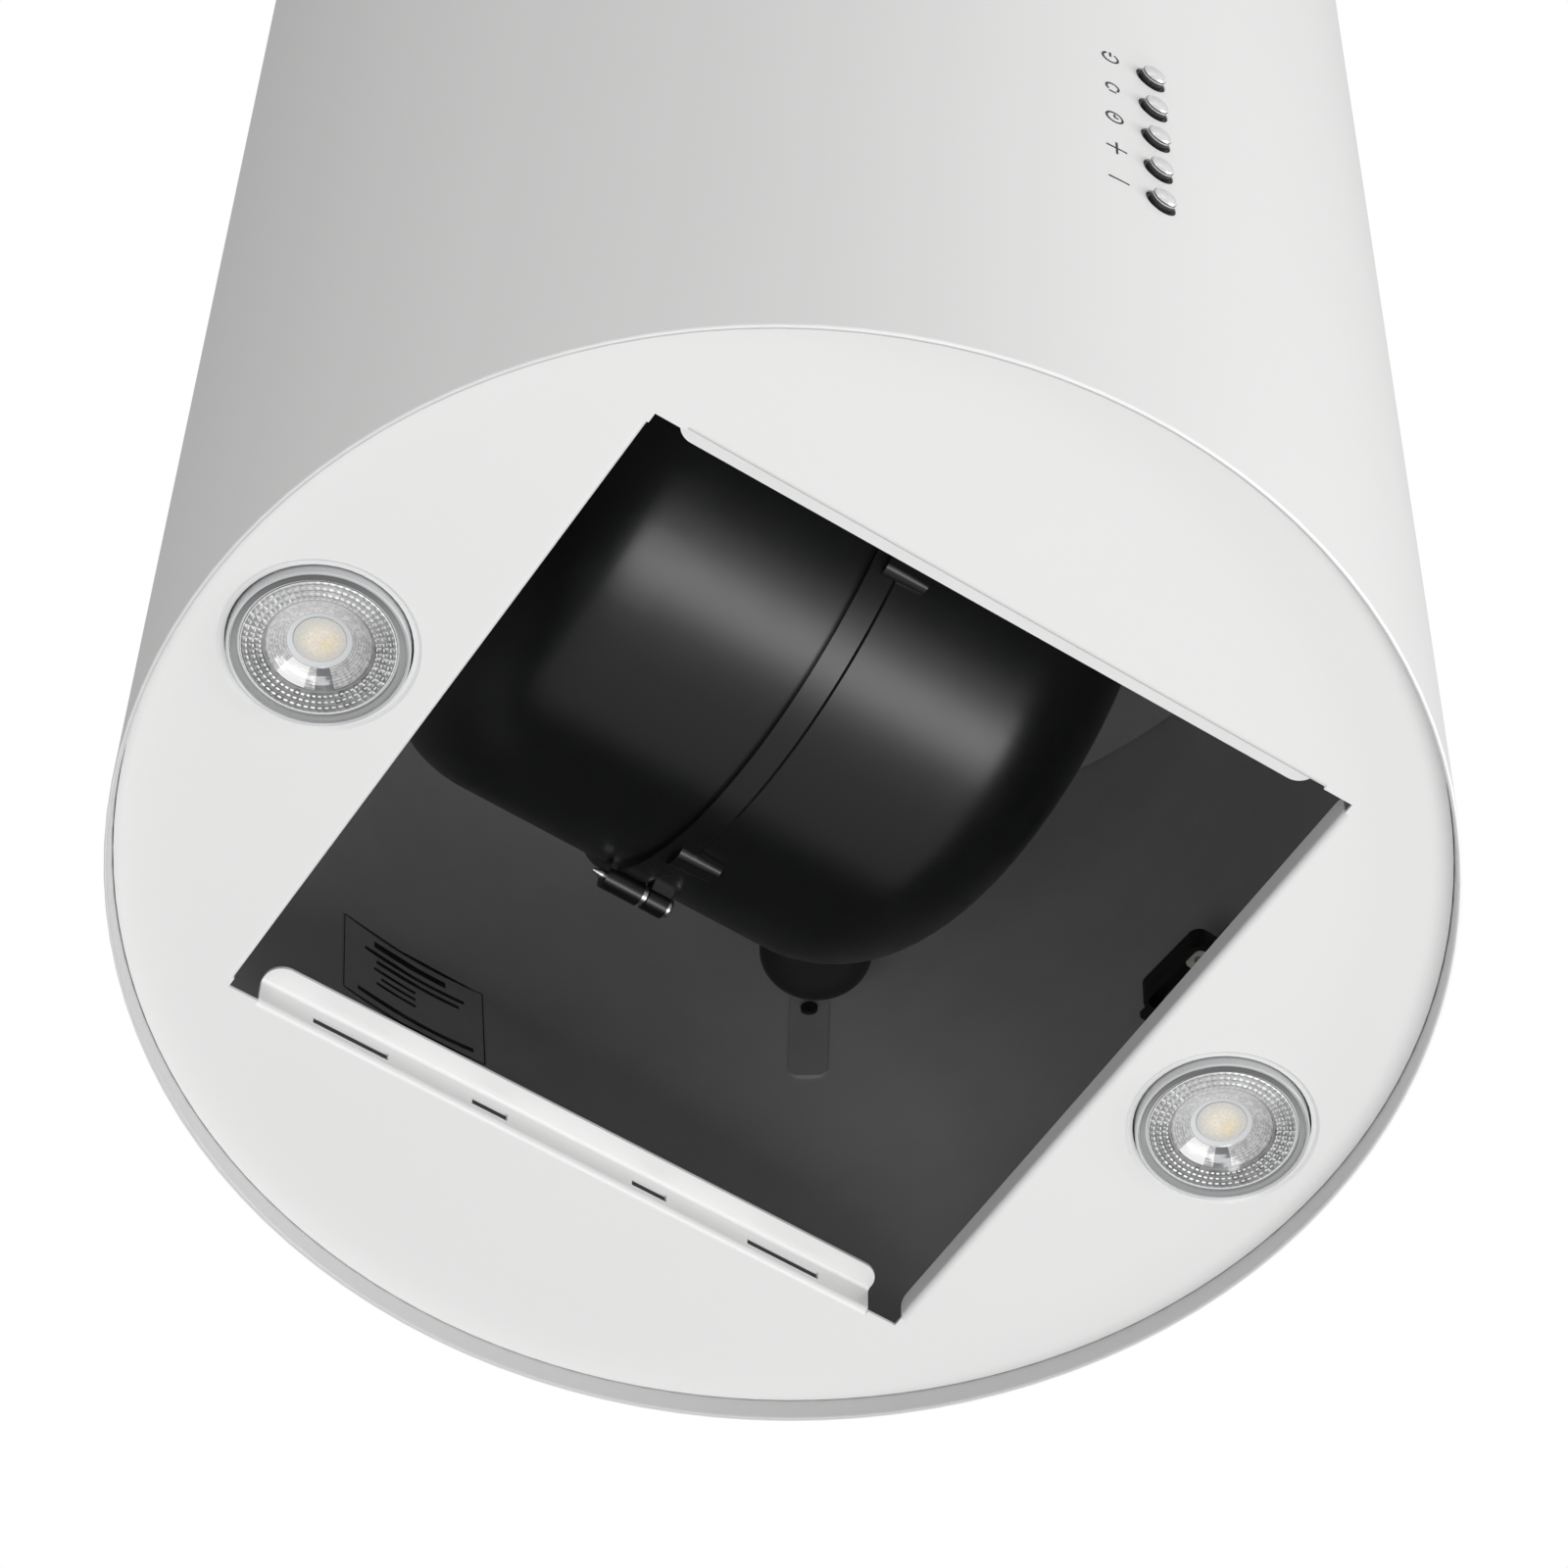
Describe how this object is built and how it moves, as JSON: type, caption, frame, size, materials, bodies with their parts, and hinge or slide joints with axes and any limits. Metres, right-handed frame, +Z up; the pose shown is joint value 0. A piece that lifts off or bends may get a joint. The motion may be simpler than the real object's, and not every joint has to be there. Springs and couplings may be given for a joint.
{
  "type": "island range hood",
  "caption": "Round ceiling-hung range hood: white cylindrical body, square suction opening flanked by spot lamps, push buttons, blower inside.",
  "frame": {"origin": "centre of the ceiling plate's top face, which lies against the ceiling; the part hangs below it", "axes": "+Z up into the ceiling along the body's axis; the front with the buttons faces -Y; +X to the right of someone who looks at the buttons"},
  "size_m": [0.38, 0.3833, 0.9],
  "materials": {
    "shell_paint": "smooth satin powder coat outside, dark grey inside",
    "white_paint": "smooth satin white powder coat",
    "zinc_sheet": "galvanised sheet",
    "zinc_screw": "bright zinc plate",
    "bulb_plastic": "light grey bulb shell",
    "bulb_lens": "clear moulded lens",
    "led_phosphor": "yellow phosphor",
    "ceramic": "glazed cream",
    "black_plastic": "moulded black",
    "housing_plastic": "satin black moulding",
    "impeller_plastic": "dark grey glass-filled",
    "circuit_board": "green board",
    "motor_steel": "turned steel",
    "button_metal": "satin chrome cap with a polished rim",
    "label_film": "printed silver film",
    "dark_rivet": "black"
  },
  "bodies": {
    "hood": {"body_shell": "shell_paint", "bottom_panel": "white_paint", "panel_brackets": "zinc_sheet", "panel_nuts": "zinc_screw", "left_bulb_body": "bulb_plastic", "left_bulb_lens": "bulb_lens", "left_led_chip": "led_phosphor", "left_lamp_socket": "black_plastic", "left_lamp_strap": "zinc_sheet", "right_bulb_body": "bulb_plastic", "right_bulb_lens": "bulb_lens", "right_led_chip": "led_phosphor", "right_lamp_socket": "black_plastic", "right_lamp_strap": "zinc_sheet", "socket_screws": "zinc_screw", "button_frame": "black_plastic", "switch_board": "circuit_board", "tact_switches": "black_plastic", "switch_cover": "black_plastic", "module_nuts": "zinc_screw", "housing_left": "housing_plastic", "housing_right": "housing_plastic", "seam_screws": "zinc_screw", "inlet_guard": "black_plastic", "motor_bracket": "zinc_sheet", "motor": "motor_steel", "motor_screws": "zinc_screw", "inlet_screws": "zinc_screw", "capacitor": "black_plastic", "capacitor_clamp": "zinc_sheet", "deck": "zinc_sheet", "deck_brackets": "zinc_sheet", "deck_screws": "zinc_screw", "duct_collar": "zinc_sheet", "flap_pins": "zinc_sheet", "collar_bolts": "zinc_screw", "collar_nuts": "zinc_screw", "lower_frame": "zinc_sheet", "upper_frame": "zinc_sheet", "foot_bolts": "zinc_screw", "rail_bolts": "zinc_screw", "sleeve_grips": "zinc_sheet", "terminal_box": "black_plastic", "terminal_block": "ceramic", "cable_gland": "black_plastic", "rating_label": "label_film", "wall_tabs": "zinc_sheet", "tab_rivets": "dark_rivet"},
    "sleeve": {"upper_sleeve": "white_paint"},
    "rotor": {"impeller": "impeller_plastic", "impeller_blades": "impeller_plastic", "motor_shaft": "motor_steel", "impeller_nut": "zinc_screw"},
    "flap_back": {"flap_back": "black_plastic"},
    "flap_front": {"flap_front": "black_plastic"},
    "button_minus": {"button_minus": "button_metal"},
    "button_plus": {"button_plus": "button_metal"},
    "button_timer": {"button_timer": "button_metal"},
    "button_lamp": {"button_lamp": "button_metal"},
    "button_power": {"button_power": "button_metal"}
  },
  "joints": [
    {"name": "sleeve_slide", "type": "slide", "parent": "hood", "child": "sleeve", "axis": [0, 0, 1], "range_m": [-0.24, 0]},
    {"name": "impeller_spin", "type": "hinge", "parent": "hood", "child": "rotor", "pos_m": [0, 0.0106, -0.714], "axis": [1, 0, 0], "continuous": true},
    {"name": "flap_back_hinge", "type": "hinge", "parent": "hood", "child": "flap_back", "pos_m": [0, 0.0156, -0.5695], "axis": [1, 0, 0], "range_deg": [0, 75]},
    {"name": "flap_front_hinge", "type": "hinge", "parent": "hood", "child": "flap_front", "pos_m": [0, 0.0056, -0.5695], "axis": [-1, 0, 0], "range_deg": [0, 75]},
    {"name": "button_minus_press", "type": "slide", "parent": "hood", "child": "button_minus", "axis": [0, 1, 0], "range_m": [0, 0.0012], "stiffness_N_per_m": 900, "springref_m": -0.0006},
    {"name": "button_plus_press", "type": "slide", "parent": "hood", "child": "button_plus", "axis": [0, 1, 0], "range_m": [0, 0.0012], "stiffness_N_per_m": 900, "springref_m": -0.0006},
    {"name": "button_timer_press", "type": "slide", "parent": "hood", "child": "button_timer", "axis": [0, 1, 0], "range_m": [0, 0.0012], "stiffness_N_per_m": 900, "springref_m": -0.0006},
    {"name": "button_lamp_press", "type": "slide", "parent": "hood", "child": "button_lamp", "axis": [0, 1, 0], "range_m": [0, 0.0012], "stiffness_N_per_m": 900, "springref_m": -0.0006},
    {"name": "button_power_press", "type": "slide", "parent": "hood", "child": "button_power", "axis": [0, 1, 0], "range_m": [0, 0.0012], "stiffness_N_per_m": 900, "springref_m": -0.0006}
  ]
}
